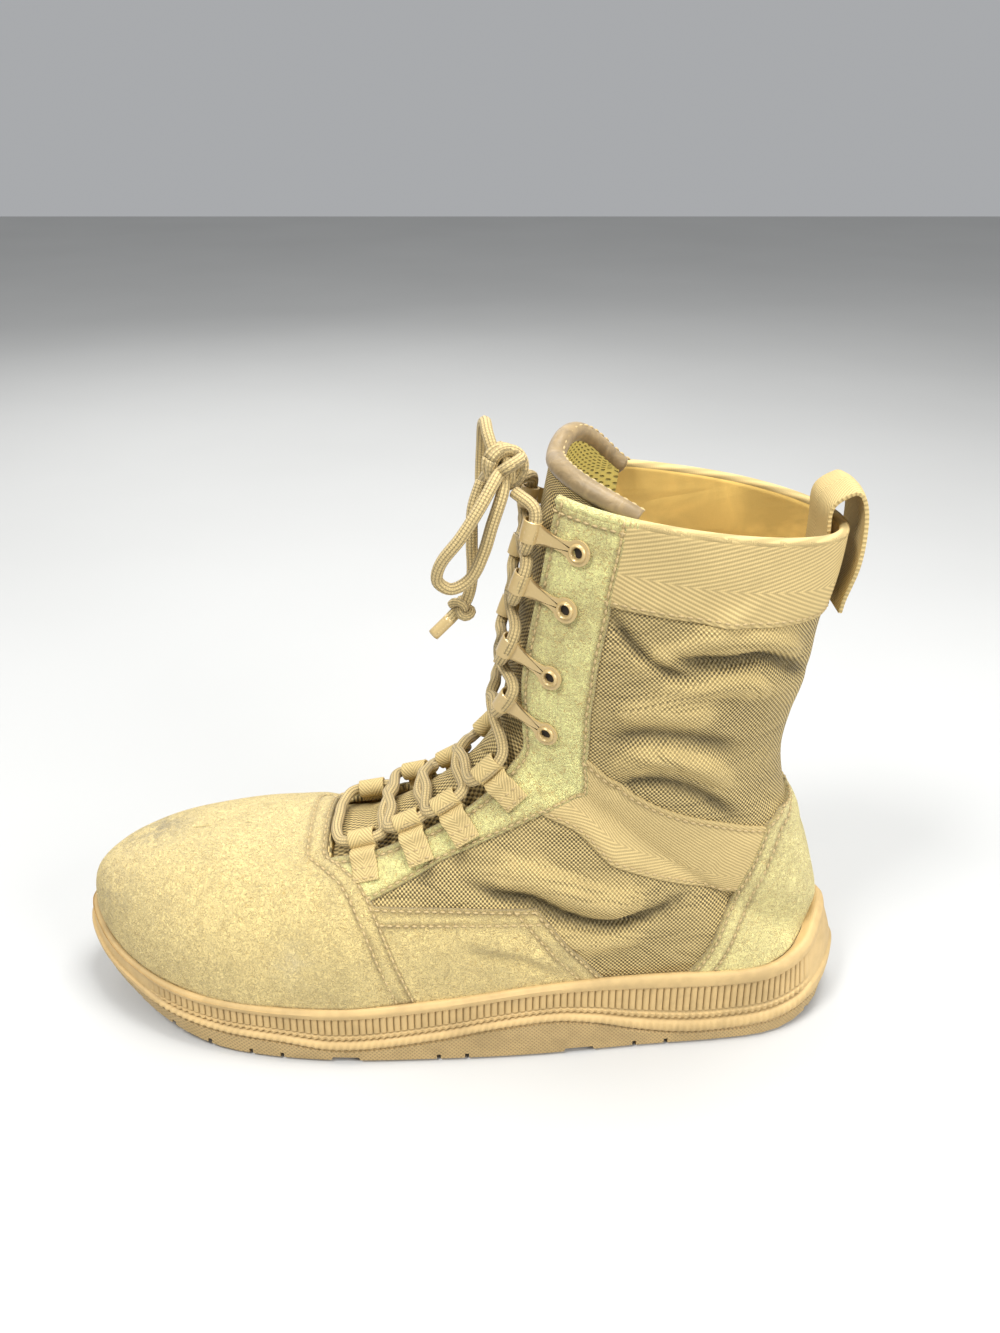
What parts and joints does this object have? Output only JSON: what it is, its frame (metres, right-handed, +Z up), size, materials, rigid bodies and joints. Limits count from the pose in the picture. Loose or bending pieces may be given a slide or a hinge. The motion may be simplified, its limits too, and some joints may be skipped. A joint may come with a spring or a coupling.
{
  "type": "lace-up combat boot",
  "caption": "Left lace-up combat boot in suede and woven nylon on a moulded rubber sole, open at the collar, tied in a bow, standing empty.",
  "frame": {"origin": "centre of the bounding box of the boot without its free lace, on the ground plane", "axes": "+X from toe to heel, +Y from the outer (lateral) side to the inner (medial) side, +Z up"},
  "size_m": [0.311, 0.1091, 0.2365],
  "materials": {
    "rubber": "matte moulded tan rubber",
    "tread": "matte tan rubber, scuffed",
    "suede": "napped khaki suede",
    "nylon": "coyote basket-weave nylon",
    "tape": "herringbone webbing tape",
    "lining": "tan microsuede and spacer mesh",
    "lace": "tan braided cord",
    "metal": "tan painted steel"
  },
  "bodies": {
    "root": {"ankle_tape_lateral": "tape", "ankle_tape_medial": "tape", "collar_tape": "tape", "eyestay_lateral": "suede", "eyestay_medial": "suede", "heel_counter": "suede", "insole": "lining", "lace_bow_lateral": "lace", "lace_bow_medial": "lace", "lace_crossings": "lace", "lace_end_lateral": "lace", "lace_end_medial": "lace", "lace_hook_lateral_1": "metal", "lace_hook_lateral_2": "metal", "lace_hook_lateral_3": "metal", "lace_hook_lateral_4": "metal", "lace_hook_medial_1": "metal", "lace_hook_medial_2": "metal", "lace_hook_medial_3": "metal", "lace_hook_medial_4": "metal", "lace_knot": "lace", "lace_tab_lateral_1": "tape", "lace_tab_lateral_2": "tape", "lace_tab_lateral_3": "tape", "lace_tab_lateral_4": "tape", "lace_tab_medial_1": "tape", "lace_tab_medial_2": "tape", "lace_tab_medial_3": "tape", "lace_tab_medial_4": "tape", "midsole": "rubber", "outsole": "tread", "pull_loop": "tape", "side_suede_lateral": "suede", "side_suede_medial": "suede", "tongue": "lining", "upper": "nylon", "vamp_suede": "suede"}
  },
  "joints": []
}
